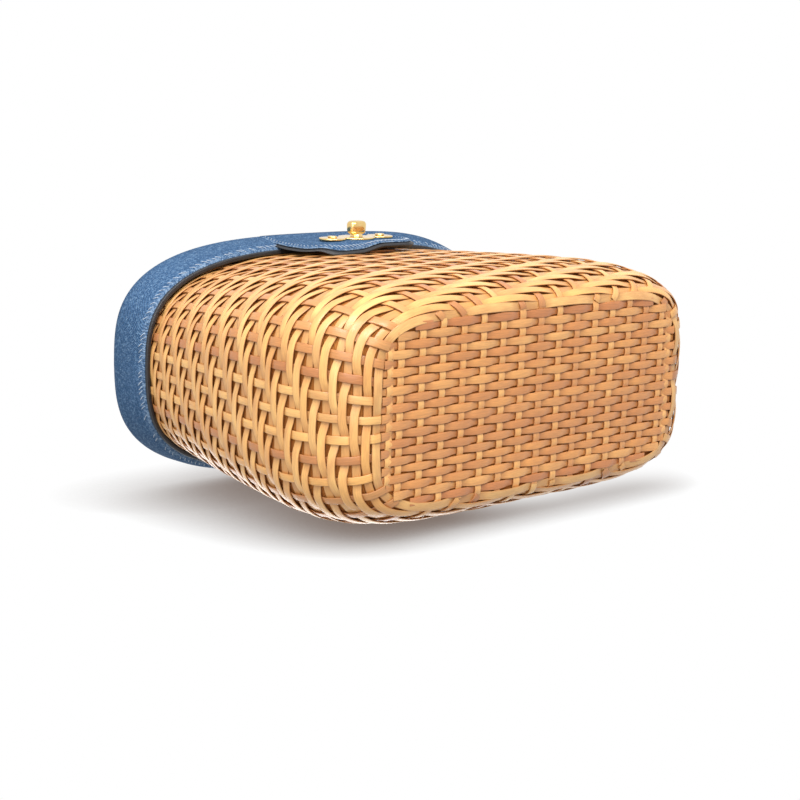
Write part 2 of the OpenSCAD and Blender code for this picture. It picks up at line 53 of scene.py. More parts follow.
# Sizes of the solids, in millimetres.
base_w, base_d, belly_out_w, belly_out_d, belly_h, draw_late = 190, 80.5, 22, 14.5, 46, 1.45
mouth_w, mouth_d, lid_line, rim_inside, base_square, rim_square = 219, 101.5, 143, 12, 5.5, 2.9
crest, end_stakes, side_stakes, end_pitch, side_pitch = 0.9, 9, 15, 7.6, 12.1
lid_out, lid_h, lid_round, lid_square, lid_tuck, tuck_h = 5.9, 28, 10, 3.1, 1.6, 8
denim_t, leather_t, piping_h = 1.1, 0.9, 2.2
flap_w, flap_drop, flap_r, flap_border = 67, 31, 17, 1.6
stakes = 2 * (end_stakes + side_stakes)
quarter = stakes // 4
wall_top = lid_line + rim_inside
lid_top, lid_low = lid_line + lid_h, lid_line + piping_h


# Mesh building

def make_mesh(name, verts, quads, points=None):
    """Object from points in millimetres and a list of four-sided faces, with point attributes by name."""
    verts = np.asarray(verts, float).reshape(-1, 3) * MM
    quads = np.asarray(quads, int).reshape(-1, 4)
    mesh = bpy.data.meshes.new(name)
    mesh.vertices.add(len(verts))
    mesh.vertices.foreach_set("co", verts.ravel())
    mesh.loops.add(quads.size)
    mesh.loops.foreach_set("vertex_index", quads.ravel())
    mesh.polygons.add(len(quads))
    mesh.polygons.foreach_set("loop_start", np.arange(0, quads.size, 4))
    mesh.update(calc_edges=True)
    mesh.polygons.foreach_set("use_smooth", np.full(len(quads), True))
    for key, values in (points or {}).items():
        values = np.asarray(values, float).reshape(len(verts), -1)
        kind = {1: "FLOAT", 3: "FLOAT_VECTOR", 4: "FLOAT_COLOR"}[values.shape[1]]
        slot = {1: "value", 3: "vector", 4: "color"}[values.shape[1]]
        mesh.attributes.new(key, kind, "POINT").data.foreach_set(slot, values.astype(np.float32).ravel())
    obj = bpy.data.objects.new(name, mesh)
    bpy.context.scene.collection.objects.link(obj)
    return obj


def grid_quads(rows, cols, wrap_rows=False, wrap_cols=False, flip=False):
    """Faces of a grid of points, rows by cols, that may close on itself either way."""
    r = np.arange(rows if wrap_rows else rows - 1)
    c = np.arange(cols if wrap_cols else cols - 1)
    r, c = np.meshgrid(r, c, indexing="ij")
    a, b = r * cols + c, r * cols + (c + 1) % cols
    d, e = (r + 1) % rows * cols + c, (r + 1) % rows * cols + (c + 1) % cols
    quads = np.stack([a, b, e, d], -1).reshape(-1, 4)
    return quads[:, ::-1] if flip else quads


def unit(v):
    return v / np.maximum(np.linalg.norm(v, axis=-1, keepdims=True), 1e-9)


def smooth_step(v):
    v = np.clip(v, 0, 1)
    return v * v * (3 - 2 * v)


SECTION_ACROSS = np.array([-1, -0.96, -0.82, 0.82, 0.96, 1, 0.85, -0.85])
SECTION_UP = np.array([-0.1, 0.33, 0.46, 0.46, 0.33, -0.1, -0.5, -0.5])


class Strips:
    """Flat cane strips with rounded edges, gathered into one mesh."""

    def __init__(self):
        self.verts, self.quads, self.tone, self.strip, self.count = [], [], [], [], 0

    def add(self, centre, out, width, thick, tone, closed=False, roll=0.0):
        """One strip along a line of points, with its face towards out and turned by roll."""
        ahead = np.roll(centre, -1, 0) - np.roll(centre, 1, 0)
        if not closed:
            ahead[0], ahead[-1] = centre[1] - centre[0], centre[-1] - centre[-2]
        ahead = unit(ahead)
        out = unit(out - ahead * np.sum(out * ahead, -1, keepdims=True))
        across = np.cross(ahead, out)
        turn = np.broadcast_to(roll, len(centre))[:, None]
        out, across = out * np.cos(turn) + across * np.sin(turn), across * np.cos(turn) - out * np.sin(turn)
        n, k = len(centre), len(SECTION_UP)
        width = np.broadcast_to(width, n)[:, None, None]
        place = (centre[:, None] + across[:, None] * SECTION_ACROSS[:, None] * width / 2
                 + out[:, None] * SECTION_UP[:, None] * thick)
        along = np.concatenate([[0], np.cumsum(np.linalg.norm(np.diff(centre, axis=0), axis=1))])
        strip = np.empty((n, k, 3))
        strip[..., 0] = along[:, None]
        strip[..., 1] = SECTION_ACROSS
        strip[..., 2] = len(self.verts) * 3.731
        tone = np.concatenate([np.broadcast_to(tone, (n, 3)), np.ones((n, 1))], 1)
        self.quads.append(grid_quads(n, k, wrap_rows=closed, wrap_cols=True) + self.count)
        self.verts.append(place.reshape(-1, 3))
        self.strip.append(strip.reshape(-1, 3))
        self.tone.append(np.repeat(tone, k, 0))
        self.count += n * k

    def build(self, name):
        return make_mesh(name, np.concatenate(self.verts), np.concatenate(self.quads),
                         {"tone": np.concatenate(self.tone), "strip": np.concatenate(self.strip)})


# The basket's wall as a surface: stake number, way up the wall, and distance out

def outline(a, b, n, share):
    """Points on a rounded outline at shares of its length, from the +X end towards the back."""
    t = np.linspace(0, 2 * np.pi, 2881)
    p = np.arctan2(b * np.sin(t), a * np.cos(t))
    r = (np.abs(np.cos(p) / a) ** n + np.abs(np.sin(p) / b) ** n) ** (-1 / n)
    x, y = r * np.cos(p), r * np.sin(p)
    s = np.concatenate([[0], np.cumsum(np.hypot(np.diff(x), np.diff(y)))])
    u = np.mod(share, 1) * s[-1]
    return np.stack([np.interp(u, s, x), np.interp(u, s, y)], -1), s[-1]


def half_size(h, base, belly_out, mouth):
    """Half the width or depth of the basket at height h: it swells to the belly and draws in to the mouth."""
    h = np.asarray(h, float)
    swell = np.sqrt(np.clip(1 - (1 - np.clip(h, 0, belly_h) / belly_h) ** 2, 0, 1))
    draw = (np.clip(h - belly_h, 0, None) / (lid_line - crest - belly_h)) ** draw_late
    return base / 2 + belly_out * swell - (base / 2 + belly_out - mouth / 2) * draw


def half_w(h):
    return half_size(h, base_w, belly_out_w, mouth_w)


def half_d(h):
    return half_size(h, base_d, belly_out_d, mouth_d)


def square_at(h):
    return base_square + (rim_square - base_square) * np.minimum(1, np.asarray(h, float) / lid_line) ** 0.65


foot = outline(base_w / 2, base_d / 2, base_square, np.zeros(1))[1] / 4
quarter_share = [(r * end_pitch if r < end_stakes / 2 else foot - (quarter - r) * side_pitch) / foot
                 for r in range(quarter + 1)]
stake_shares = [(q + (quarter_share[r] if q % 2 == 0 else 1 - quarter_share[quarter - r])) / 4
                for q in range(4) for r in range(quarter)] + [1.0]

profile_h = np.concatenate([belly_h * (1 - np.cos(np.linspace(0, np.pi / 2, 160))),
                            np.linspace(belly_h, wall_top - crest, 240)[1:]])
profile_s = np.concatenate([[0], np.cumsum(np.hypot(np.diff(half_w(profile_h)), np.diff(profile_h)))])
wall_length = profile_s[-1]

COLS, ROWS = stakes * 12, 360
grid_s = np.linspace(0, wall_length, ROWS)
grid_i = np.arange(COLS) / COLS * stakes
grid_h = np.interp(grid_s, profile_s, profile_h)
grid_share = np.interp(grid_i, np.arange(stakes + 1), stake_shares)
wall_p = np.empty((ROWS, COLS, 3))
for row, h in enumerate(grid_h):
    wall_p[row, :, :2] = outline(half_w(h), half_d(h), square_at(h), grid_share)[0]
    wall_p[row, :, 2] = crest + h
round_way = np.roll(wall_p, -1, 1) - np.roll(wall_p, 1, 1)
up_way = np.gradient(wall_p, axis=0)
wall_n = unit(np.cross(round_way, up_way))


def wall(i, s, o):
    """Point and outward direction at stake i, length s up the wall and distance o out.

    Below s = 0 the surface runs on inwards in the base.
    """
    i, s, o = np.broadcast_arrays(np.asarray(i, float), np.asarray(s, float), np.asarray(o, float))
    c = np.mod(i / stakes, 1) * COLS
    r = np.clip(s / wall_length, 0, 1) * (ROWS - 1)
    c0, r0 = np.floor(c).astype(int) % COLS, np.minimum(np.floor(r).astype(int), ROWS - 2)
    fc, fr = (c - np.floor(c))[..., None], (r - r0)[..., None]
    c1 = (c0 + 1) % COLS

    def at(g):
        low = g[r0, c0] * (1 - fc) + g[r0, c1] * fc
        high = g[r0 + 1, c0] * (1 - fc) + g[r0 + 1, c1] * fc
        return low * (1 - fr) + high * fr

    p, n = at(wall_p), unit(at(wall_n))
    below = np.minimum(s, 0)[..., None]
    inward = unit(at(up_way)) * [1, 1, 0]
    return p + n * o[..., None] + inward * below, n


# Weave

rng = np.random.default_rng(11)
WEAVERS = 44
WEAVER_LIFT, WEAVER_THICK, STAKE_LIFT, STAKE_THICK = 0.62, 0.58, 0.44, 0.62


def weaver_s(j):
    """Length up the end wall at which weaver j lies: they are packed closer towards the rim."""
    return 1.9 + 4.65 * j - 0.0218 * j ** 2


def pitch_at(j):
    return 4.65 - 0.0436 * j


def wave(x):
    """Over and under: a rounded square wave of period 4, highest at 0."""
    return np.tanh(1.9 * np.cos(np.pi * x / 2)) / np.tanh(1.9)


def drift(n, size, rough, closed=False):
    """Slow random wandering along a strip."""
    t = np.linspace(0, 2 * np.pi if closed else 1.9 * np.pi, n, endpoint=not closed)
    out = np.zeros(n)
    for k in range(1, rough):
        out += rng.normal(0, 1 / math.sqrt(k)) * np.cos(k * t + rng.uniform(0, 6.3))
    return size * out / math.sqrt(rough)


def tones(pale, brown, over):
    """Tones along a strip: its pale and brown shares, and its share of painted shade where it dives under a
    crossing strip, as over falls from 1 to -1.
    """
    return np.stack(np.broadcast_arrays(pale, brown, (1 - over) / 2), -1)


def mixed_brown():
    """Brown share of a strip: most strips are pale, and some are clearly brown."""
    return rng.uniform(0.65, 1) if rng.uniform() < 0.4 else rng.uniform(0, 0.25)


walls = Strips()
STEP = 5
i_path = np.arange(stakes * STEP) / STEP
for j in range(WEAVERS):
    pitch = pitch_at(j)
    m = j - i_path - 2.5
    count = len(i_path)
    s = weaver_s(j) + pitch * 0.17 * wave(m) * min(1, (j + 2) / 5) + drift(count, 0.3, 20, True)
    o = WEAVER_LIFT * wave(m) + 0.1 * np.cos(np.pi * m) * (wave(m) > 0)
    p, n = wall(i_path, np.minimum(s, wall_length - 0.5), o)
    width = (0.54 * pitch + 1.45) * rng.uniform(0.92, 1.05) * (1 + drift(count, 0.045, 22, True))
    tone = tones(rng.uniform(0.3, 1), rng.beta(1.2, 4) * 0.7, wave(m))
    walls.add(p, n, width, WEAVER_THICK, tone, closed=True, roll=drift(count, 0.09, 24, True))
weave_wall = walls.build("weave_weavers")

uprights = Strips()
for i in range(stakes):
    j = np.arange(-0.42, WEAVERS - 0.6, 0.25)
    m = j - i - 0.5
    s = np.clip(weaver_s(j), 0, wall_length - 0.5)
    fade = np.clip((j + 0.4) / 1.2, 0, 1)
    o = STAKE_LIFT * wave(m) * fade + 0.2 * (1 - fade)
    p, n = wall(i + drift(len(j), 0.03, 8), s, o)
    width = rng.uniform(3.5, 4.1) * (1 + drift(len(j), 0.04, 10))
    tone = tones(rng.uniform(0.2, 1), mixed_brown(), wave(m) * fade + 1 - fade)
    uprights.add(p, n, width, STAKE_THICK, tone, roll=drift(len(j), 0.05, 12))
weave_stakes = uprights.build("weave_stakes")

floor_weave = Strips()
ROW_PITCH = 3.75
top_row = 10
BASE_STRIP_LIFT, BASE_STRIP_THICK, BASE_STRIP_POINTS = 0.36, 0.6, 90
ROW_LIFT, ROW_THICK, ROW_POINTS = 0.55, 0.62, 150


def base_edge(v, a, b):
    """Half length of the base along one way, at distance v from the middle along the other."""
    return a * (1 - np.clip(np.abs(v) / b, 0, 0.999) ** base_square) ** (1 / base_square)


DOWN = np.array([0.0, 0.0, -1.0])
end_strip = base_w / 2 - 4.6
for k in range(-8, 9):
    x = np.clip(k * side_pitch, -end_strip, end_strip)
    reach = base_edge(x, base_d / 2, base_w / 2)
    r = np.linspace(-reach, reach, BASE_STRIP_POINTS) / ROW_PITCH
    over = np.cos(np.pi * (r + k + 1))
    lift = BASE_STRIP_LIFT * over
    centre = np.stack([x + drift(BASE_STRIP_POINTS, 0.15, 6), r * ROW_PITCH, crest - lift], -1)
    brown = 0.7 * mixed_brown() if abs(k) < 7 else 0.05
    width = rng.uniform(3.5, 4.1)
    tone = tones(rng.uniform(0.6, 1), brown, over)
    floor_weave.add(centre, np.tile(DOWN, (BASE_STRIP_POINTS, 1)), width, BASE_STRIP_THICK, tone,
                    roll=drift(BASE_STRIP_POINTS, 0.05, 12))
for r in range(-top_row, top_row + 1):
    y = r * ROW_PITCH
    reach = base_edge(y, base_w / 2, base_d / 2)
    x = np.linspace(-reach, reach, ROW_POINTS)
    k = x / side_pitch
    beat = np.cos(np.pi * (k + r))
    lift = ROW_LIFT * np.tanh(1.6 * beat) / np.tanh(1.6)
    centre = np.stack([x, y + drift(ROW_POINTS, 0.18, 20), crest - lift], -1)
    width = 3.5 * rng.uniform(0.93, 1.05) * (1 + 0.12 * beat)
    brown = 1 if abs(r) == top_row else 0.25 + 0.5 * mixed_brown()
    tone = tones(rng.uniform(0.1, 0.9), brown, beat)
    floor_weave.add(centre, np.tile(DOWN, (ROW_POINTS, 1)), width, ROW_THICK, tone,
                    roll=drift(ROW_POINTS, 0.12, 26))
weave_base = floor_weave.build("weave_base")

# Inner skin just behind the strips: what shows in the gaps
CORE_COLS, WALL_SKIN, BASE_SKIN = 192, 1.15, 0.95
core_i = np.arange(CORE_COLS) / CORE_COLS * stakes
rim_of_base = wall(core_i, 0.0, -WALL_SKIN)[0]
core = [rim_of_base * [f, f, 0] + [0, 0, crest + BASE_SKIN] for f in np.linspace(0.05, 0.97, 14)]
core += [wall(core_i, h, -WALL_SKIN)[0] for h in np.linspace(0.2, wall_length - 1, 90)]
core_quads = grid_quads(len(core), CORE_COLS, wrap_cols=True)
weave_core = make_mesh("weave_inner_skin", np.concatenate(core), core_quads)


# Materials

def material(name):
    mat = bpy.data.materials.new(name)
    mat.use_nodes = True
    return mat, Graph(mat.node_tree)


class Graph:
    """Short way of writing a node tree."""

    def __init__(self, tree):
        self.tree = tree
        self.bsdf = tree.nodes["Principled BSDF"]

    def node(self, kind, props=None, **inputs):
        n = self.tree.nodes.new("ShaderNode" + kind)
        for key, value in (props or {}).items():
            setattr(n, key, value)
        for key, value in inputs.items():
            numbered = key[0] == "_" and key[1:].isdigit()
            self.put(n.inputs[int(key[1:]) if numbered else key.replace("_", " ")], value)
        return n

    def put(self, socket, value):
        if isinstance(value, bpy.types.NodeSocket):
            self.tree.links.new(value, socket)
        elif isinstance(value, (tuple, list)) and socket.type == "RGBA" and len(value) == 3:
            socket.default_value = (*value, 1)
        else:
            socket.default_value = value

    def set(self, **inputs):
        for key, value in inputs.items():
            self.put(self.bsdf.inputs[key.replace("_", " ")], value)

    def math(self, op, a, b=0.0):
        return self.node("Math", {"operation": op}, _0=a, _1=b).outputs[0]

    def mix(self, fac, a, b, blend="MIX"):
        n = self.tree.nodes.new("ShaderNodeMix")
        n.data_type, n.blend_type = "RGBA", blend
        self.put(n.inputs["Factor"], fac)
        self.put(n.inputs[6], a)
        self.put(n.inputs[7], b)
        return n.outputs[2]

    def span(self, value, a, b, c=0.0, d=1.0):
        return self.node("MapRange", None, Value=value, From_Min=a, From_Max=b, To_Min=c, To_Max=d).outputs[0]

    def attribute(self, name):
        return self.node("Attribute", {"attribute_name": name})

    def scaled(self, vector, scale):
        return self.node("Mapping", None, Vector=vector, Scale=scale).outputs[0]

    def noise(self, vector, scale, detail=3.0, rough=0.5):
        n = self.node("TexNoise", None, Vector=vector, Scale=scale, Detail=detail, Roughness=rough)
        return n.outputs["Fac"]

    def bump(self, height, strength, distance):
        self.put(self.bsdf.inputs["Normal"],
                 self.node("Bump", None, Height=height, Strength=strength, Distance=distance).outputs[0])

    def object_place(self):
        return self.node("TexCoord").outputs["Object"]


def cane_material(name, pale, honey, brown, dive_shade):
    mat, g = material(name)
    tone = g.node("SeparateColor", None, Color=g.attribute("tone").outputs["Color"])
    strip = g.attribute("strip").outputs["Vector"]
    across = g.math("ABSOLUTE", g.node("SeparateXYZ", None, Vector=strip).outputs[1])
    fibre = g.noise(g.scaled(strip, (0.12, 3.2, 1.0)), 1.6, 4.0, 0.6)
    blotch = g.noise(g.scaled(strip, (0.05, 0.3, 1.0)), 1.0, 2.0)
    speck = g.noise(g.scaled(strip, (0.7, 3.0, 1.0)), 2.4, 2.0)
    body = g.mix(tone.outputs[0], honey, pale)
    body = g.mix(tone.outputs[1], body, brown)
    body = g.mix(g.span(blotch, 0.42, 0.7, 0.0, 0.5), body, brown)
    streak = g.span(fibre, 0.3, 0.75, 0.8, 1.1)
    body = g.mix(1.0, body, g.node("CombineXYZ", None, X=streak, Y=streak, Z=streak).outputs[0], "MULTIPLY")
    # Painted shade: each strip darkens towards its edges, where shade falls into the gaps between strips.
    body = g.mix(g.span(across, 0.8, 1.0, 0.0, 0.7), body, (0.36, 0.125, 0.032))
    # Painted shade: the strip darkens where it dives under a crossing strip.
    body = g.mix(g.span(tone.outputs[2], 0.35, 0.85, 0.0, dive_shade), body, (0.34, 0.115, 0.026))
    body = g.mix(g.span(speck, 0.7, 0.8, 0.0, 0.45), body, (0.2, 0.08, 0.03))
    g.set(Base_Color=body, Roughness=g.span(fibre, 0.2, 0.8, 0.32, 0.5), Specular_IOR_Level=0.45,
          Coat_Weight=0.35, Coat_Roughness=0.2)
    g.bump(g.math("ADD", fibre, g.math("MULTIPLY", speck, -0.3)), 0.35, 0.0004)
    return mat


# The last value sets how dark the painted shade is where strips dive under crossing strips.
cane = cane_material("cane", (0.96, 0.57, 0.2), (0.9, 0.44, 0.115), (0.53, 0.205, 0.07), 0.35)
cane_base = cane_material("cane_base", (0.95, 0.52, 0.175), (0.86, 0.37, 0.1), (0.6, 0.225, 0.075), 0.3)
for obj, mat in ((weave_wall, cane), (weave_stakes, cane), (weave_base, cane_base)):
    obj.data.materials.append(mat)
    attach(obj, "basket")
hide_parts("woven_wall")
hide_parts("woven_wall")
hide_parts("woven_base")


def denim_material():
    mat, g = material("denim")
    cloth = g.attribute("cloth").outputs["Vector"]
    wear = g.attribute("wear").outputs["Fac"]
    twill = g.node("TexWave", {"wave_type": "BANDS", "bands_direction": "DIAGONAL"}, Vector=cloth, Scale=0.62,
                   Distortion=2.5, Detail=3.0, Detail_Scale=1.2).outputs["Fac"]
    yarn = g.noise(g.scaled(cloth, (1.0, 1.0, 0.4)), 2.2, 3.0, 0.65)
    fleck = g.noise(cloth, 1.7, 2.0, 0.7)
    fade = g.noise(cloth, 0.035, 3.0, 0.55)
    grain = g.noise(cloth, 0.8, 4.0, 0.75)
    body = g.mix(g.span(fade, 0.3, 0.7), (0.033, 0.088, 0.19), (0.056, 0.128, 0.255))
    body = g.mix(g.span(grain, 0.38, 0.53, 0.8, 0.0), body, (0.02, 0.058, 0.13))
    body = g.mix(g.span(yarn, 0.4, 0.7, 0.0, 0.4), body, (0.022, 0.062, 0.15))
    body = g.mix(g.span(twill, 0.5, 1.0, 0.0, 0.25), body, (0.15, 0.27, 0.45))
    body = g.mix(g.span(grain, 0.52, 0.62, 0.0, 0.6), body, (0.17, 0.285, 0.43))
    body = g.mix(g.span(fleck, 0.58, 0.7, 0.0, 0.5), body, (0.34, 0.46, 0.61))
    body = g.mix(g.math("MULTIPLY", wear, g.span(grain, 0.42, 0.62)), body, (0.38, 0.5, 0.64))
    g.set(Base_Color=body, Roughness=0.92, Specular_IOR_Level=0.15)
    g.bump(g.math("ADD", twill, g.math("MULTIPLY", yarn, 1.2)), 0.7, 0.0004)
    return mat


def leather_material(name, dark, light, gloss):
    mat, g = material(name)
    place = g.object_place()
    cells = g.node("TexVoronoi", {"feature": "F1"}, Vector=place, Scale=1500.0, Randomness=1.0)
    grain = cells.outputs["Distance"]
    crease = g.noise(place, 420.0, 4.0, 0.6)
    cloud = g.noise(place, 45.0, 3.0, 0.5)
    body = g.mix(g.span(cloud, 0.3, 0.7), dark, light)
    body = g.mix(g.span(grain, 0.35, 0.8, 0.0, 0.5), body, tuple(0.55 * c for c in dark))
    g.set(Base_Color=body, Roughness=g.span(crease, 0.3, 0.75, gloss, gloss + 0.22), Specular_IOR_Level=0.5)
    g.bump(g.math("ADD", g.math("MULTIPLY", grain, -1.0), g.math("MULTIPLY", crease, 0.6)), 0.45, 0.0004)
    return mat


def gold_material():
    mat, g = material("gold_metal")
    place = g.object_place()
    haze = g.noise(place, 160.0, 4.0, 0.6)
    scratch = g.noise(g.scaled(place, (1.0, 1.0, 14.0)), 900.0, 2.0, 0.6)
    body = g.mix(g.span(haze, 0.35, 0.7), (0.8, 0.54, 0.2), (0.93, 0.71, 0.35))
    g.set(Base_Color=body, Metallic=1.0, Roughness=g.span(haze, 0.3, 0.75, 0.1, 0.24))
    g.bump(scratch, 0.06, 0.0002)
    return mat


def cloth_material(name, dark, light):
    mat, g = material(name)
    place = g.object_place()
    weave = g.node("TexWave", {"wave_type": "BANDS", "bands_direction": "Z"}, Vector=place, Scale=420.0,
                   Distortion=1.5, Detail=2.0).outputs["Fac"]
    cross = g.node("TexWave", {"wave_type": "BANDS", "bands_direction": "X"}, Vector=place, Scale=420.0,
                   Distortion=1.5, Detail=2.0).outputs["Fac"]
    cloud = g.noise(place, 60.0, 3.0, 0.5)
    body = g.mix(g.span(cloud, 0.3, 0.7), dark, light)
    crossing = g.span(g.math("MULTIPLY", weave, cross), 0.2, 0.8, 0.0, 0.35)
    body = g.mix(crossing, body, tuple(1.6 * c for c in light))
    g.set(Base_Color=body, Roughness=0.95, Specular_IOR_Level=0.2)
    g.bump(g.math("ADD", weave, cross), 0.5, 0.0003)
    return mat


def thread_material():
    mat, g = material("thread")
    place = g.object_place()
    twist = g.noise(place, 1400.0, 3.0, 0.6)
    body = g.mix(g.span(twist, 0.3, 0.7), (0.2, 0.29, 0.41), (0.6, 0.66, 0.73))
    g.set(Base_Color=body, Roughness=0.8)
    g.bump(twist, 0.5, 0.0003)
    return mat


denim = denim_material()
black_leather = leather_material("black_leather", (0.012, 0.012, 0.014), (0.024, 0.023, 0.026), 0.36)
caramel_leather = leather_material("caramel_leather", (0.42, 0.17, 0.05), (0.55, 0.25, 0.08), 0.42)
gold_metal = gold_material()
lining_cloth = cloth_material("lining_cloth", (0.055, 0.036, 0.024), (0.085, 0.058, 0.038))
inner_skin = cloth_material("inner_skin", (0.36, 0.12, 0.024), (0.48, 0.18, 0.04))
weave_core.data.materials.append(inner_skin)
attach(weave_core, "basket")
thread = thread_material()

# Lid

LID_COLS = 288
lid_share = np.arange(LID_COLS) / LID_COLS


def settled(p):
    """The soft lid as it sits: it leans out towards its top, and is drawn in at one corner."""
    x, y, z = np.moveaxis(np.array(p, float), -1, 0)
    rise, front = smooth_step((z - lid_low - 1.8) / 14), smooth_step((30 - y) / 60)
    corner = np.clip(-x / 112, 0, 1.05) ** 4 * np.clip(y / 45, 0, 1)
    lean = 0.8 * rise * np.sign(x) * np.clip(np.abs(x) / 115, 0, 1.1) ** 3
    forward = (0.3 + (1.6 + 0.9 * smooth_step((x - 20) / 60)) * rise) * front
    return np.stack([x + lean + 1.6 * corner, y - forward - 1.6 * corner, z], -1)


def lid_ring(o, z, square=lid_square):
    p = outline(mouth_w / 2 + o, mouth_d / 2 + o, square, lid_share)[0]
    return np.column_stack([p, np.full(LID_COLS, z)])


def ring_mesh(name, profile, mat, closed=False, wear=None, square=lid_square):
    """Surface of rings round the lid through (out, height) pairs. A third value shrinks a ring."""
    rings = []
    for step in profile:
        ring = lid_ring(step[0], step[1], square)
        if len(step) > 2:
            ring[:, :2] *= step[2]
        rings.append(settled(ring) if square == lid_square else ring)
    points = {"cloth": np.concatenate(rings)}
    if wear is not None:
        points["wear"] = np.repeat(wear, LID_COLS)
    quads = grid_quads(len(rings), LID_COLS, wrap_rows=closed, wrap_cols=True)
    obj = make_mesh(name, np.concatenate(rings), quads, points)
    obj.data.materials.append(mat)
    return obj


def arc(a0, a1, n):
    return np.radians(np.linspace(a0, a1, n))


edge_o = lid_out - lid_tuck
hem_low, hem_tuck = lid_low - 1.3, 2.2


def denim_out(z):
    """How far the denim's face stands out at a height in the drawn-in part of the lid."""
    a = np.arccos(np.clip(1 - (np.asarray(z, float) - lid_low) / tuck_h, 0, 1))
    return lid_out - hem_tuck * (1 - np.sin(a))


hem_out = lid_out - hem_tuck
profile = [(hem_out - 1.8, hem_low + 0.4), (hem_out - 1.4, hem_low + 0.05), (hem_out - 0.7, hem_low),
           (hem_out - 0.2, hem_low + 0.4)]
profile += [(float(denim_out(z)), z) for z in lid_low + tuck_h * (1 - np.cos(arc(10, 90, 10)))]
profile += [(lid_out, z) for z in np.linspace(lid_low + tuck_h + 1.2, lid_top - lid_round - 0.8, 5)]
profile += [(lid_out - lid_round * (1 - math.cos(a)), lid_top - lid_round * (1 - math.sin(a)))
            for a in arc(0, 90, 12)]
top_out = lid_out - lid_round
profile += [(top_out, lid_top, f) for f in np.linspace(0.97, 0.001, 24)]
wear = np.zeros(len(profile))
wear[1:7] = (0.2, 0.4, 0.5, 0.3, 0.15, 0.05)
lid_denim = ring_mesh("lid_denim", profile, denim, wear=wear)
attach(lid_denim, "lid")
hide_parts("lid_cover")


def tubes(name, paths, radius, mat, sides=6):
    """One mesh of thin round threads along lists of points, with rounded-off ends."""
    verts, quads, count = [], [], 0
    turn = np.arange(sides) / sides * 2 * np.pi
    for p in paths:
        p = np.asarray(p, float)
        d = unit(np.gradient(p, axis=0))
        helper = np.where(np.abs(d[:, 2:3]) > 0.8, [[1.0, 0, 0]], [[0, 0, 1.0]])
        u = unit(np.cross(d, helper))
        v = np.cross(d, u)
        r = radius * np.sqrt(np.clip(1 - np.linspace(-0.97, 0.97, len(p)) ** 6, 0, 1))[:, None, None]
        spoke = u[:, None] * np.cos(turn)[:, None] + v[:, None] * np.sin(turn)[:, None]
        verts.append((p[:, None] + r * spoke).reshape(-1, 3))
        quads.append(grid_quads(len(p), sides, wrap_cols=True) + count)
        count += len(p) * sides
    obj = make_mesh(name, np.concatenate(verts), np.concatenate(quads))
    obj.data.materials.append(mat)
    return obj


HEM_STITCHES, LIGHT_STITCH_R, DARK_STITCH_R = 230, 0.17, 0.22
hem_paths = []
for n in range(HEM_STITCHES):
    if rng.uniform() < 0.15:
        continue
    t = np.linspace(0, 1, 7)
    z = lid_low - 0.3 + rng.uniform(1.3, 1.9) * t + rng.normal(0, 0.2)
    o = np.where(z < lid_low, hem_out + 0.2 * (z - lid_low), denim_out(z)) + 0.03 + 0.12 * np.sin(np.pi * t)
    along = n / HEM_STITCHES - (t - 0.5) * rng.uniform(1.6, 2.6) / 560 + rng.normal(0, 0.0006)
    path = [(*outline(mouth_w / 2 + o[q], mouth_d / 2 + o[q], lid_square, along[q:q + 1])[0][0], z[q])
            for q in range(7)]
    hem_paths.append(settled(path))
hem_stitches = tubes("lid_hem_stitches", hem_paths, LIGHT_STITCH_R, thread)
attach(hem_stitches, "lid")

pipe_out, pipe_in, pipe_low, pipe_high = hem_out - 0.75, 0.85, lid_line - 0.5, lid_low - 0.2


def band_section(inner, outer, low, high, r):
    """Closed section of a band round the rim, as (out, height) pairs, with round corners."""
    corners = ((outer - r, low + r, -90), (outer - r, high - r, 0),
               (inner + r, high - r, 90), (inner + r, low + r, 180))
    return [(o + r * math.cos(a), z + r * math.sin(a)) for o, z, a0 in corners for a in arc(a0, a0 + 90, 5)]


profile = band_section(pipe_in, pipe_out, pipe_low, pipe_high, 0.6)
lid_edge = ring_mesh("lid_edge_leather", profile, black_leather, closed=True)
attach(lid_edge, "lid")
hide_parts("lid_piping")

# Flap: a tongue that follows the lid at its top and bends in to the basket at its sides

flap_top, flap_low, lock_z = lid_top - lid_round, lid_line - flap_drop, lid_line - 17
flap_front = -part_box("flap")[0].y / MM


def flap_face(x, z):
    """Distance of the flap's face in front of the middle: its left lower part lies closer to the basket."""
    x, z = np.asarray(x, float), np.asarray(z, float)
    side, left = np.clip(np.abs(x) / (flap_w / 2), 0, 1.1), smooth_step((6 - x) / 16)
    lid_a, lid_b = mouth_w / 2 + lid_out, mouth_d / 2 + lid_out
    lid_face = lid_b * (1 - (np.abs(x) / lid_a) ** lid_square) ** (1 / lid_square)
    lid_face += 0.6 + 1.6 * smooth_step((z - lid_low - 1.8) / 14)
    low = np.clip((118 - z) / 6, 0, 1) ** 1.5
    face = flap_front - 2.85 * low * (0.1 + 0.9 * left) - (1.3 + 1.6 * left) * side ** 3.2
    h = np.clip(z - crest, 0, None)
    n = square_at(h)
    weave = half_d(h) * (1 - (np.abs(x) / half_w(h)) ** n) ** (1 / n) + crest + 0.4 + denim_t + leather_t
    high = smooth_step((z - 136) / 14)
    return np.maximum(face, weave) * (1 - high) + lid_face * high


def tongue(half, top, low, r, rows=44, cols=41):
    """Grid of places over the tongue's outline, with round lower corners."""
    turn = np.linspace(0, 1, rows) ** 0.8
    z = top + (low - top) * turn
    in_corner = np.clip((low + r - z) / r, 0, 1)
    wide = half - r + r * np.sqrt(np.clip(1 - in_corner ** 2, 0, 1))
    c = np.sin(np.linspace(-1, 1, cols) * np.pi / 2) * 0.35 + np.linspace(-1, 1, cols) * 0.65
    return wide[:, None] * c, np.repeat(z[:, None], cols, 1)


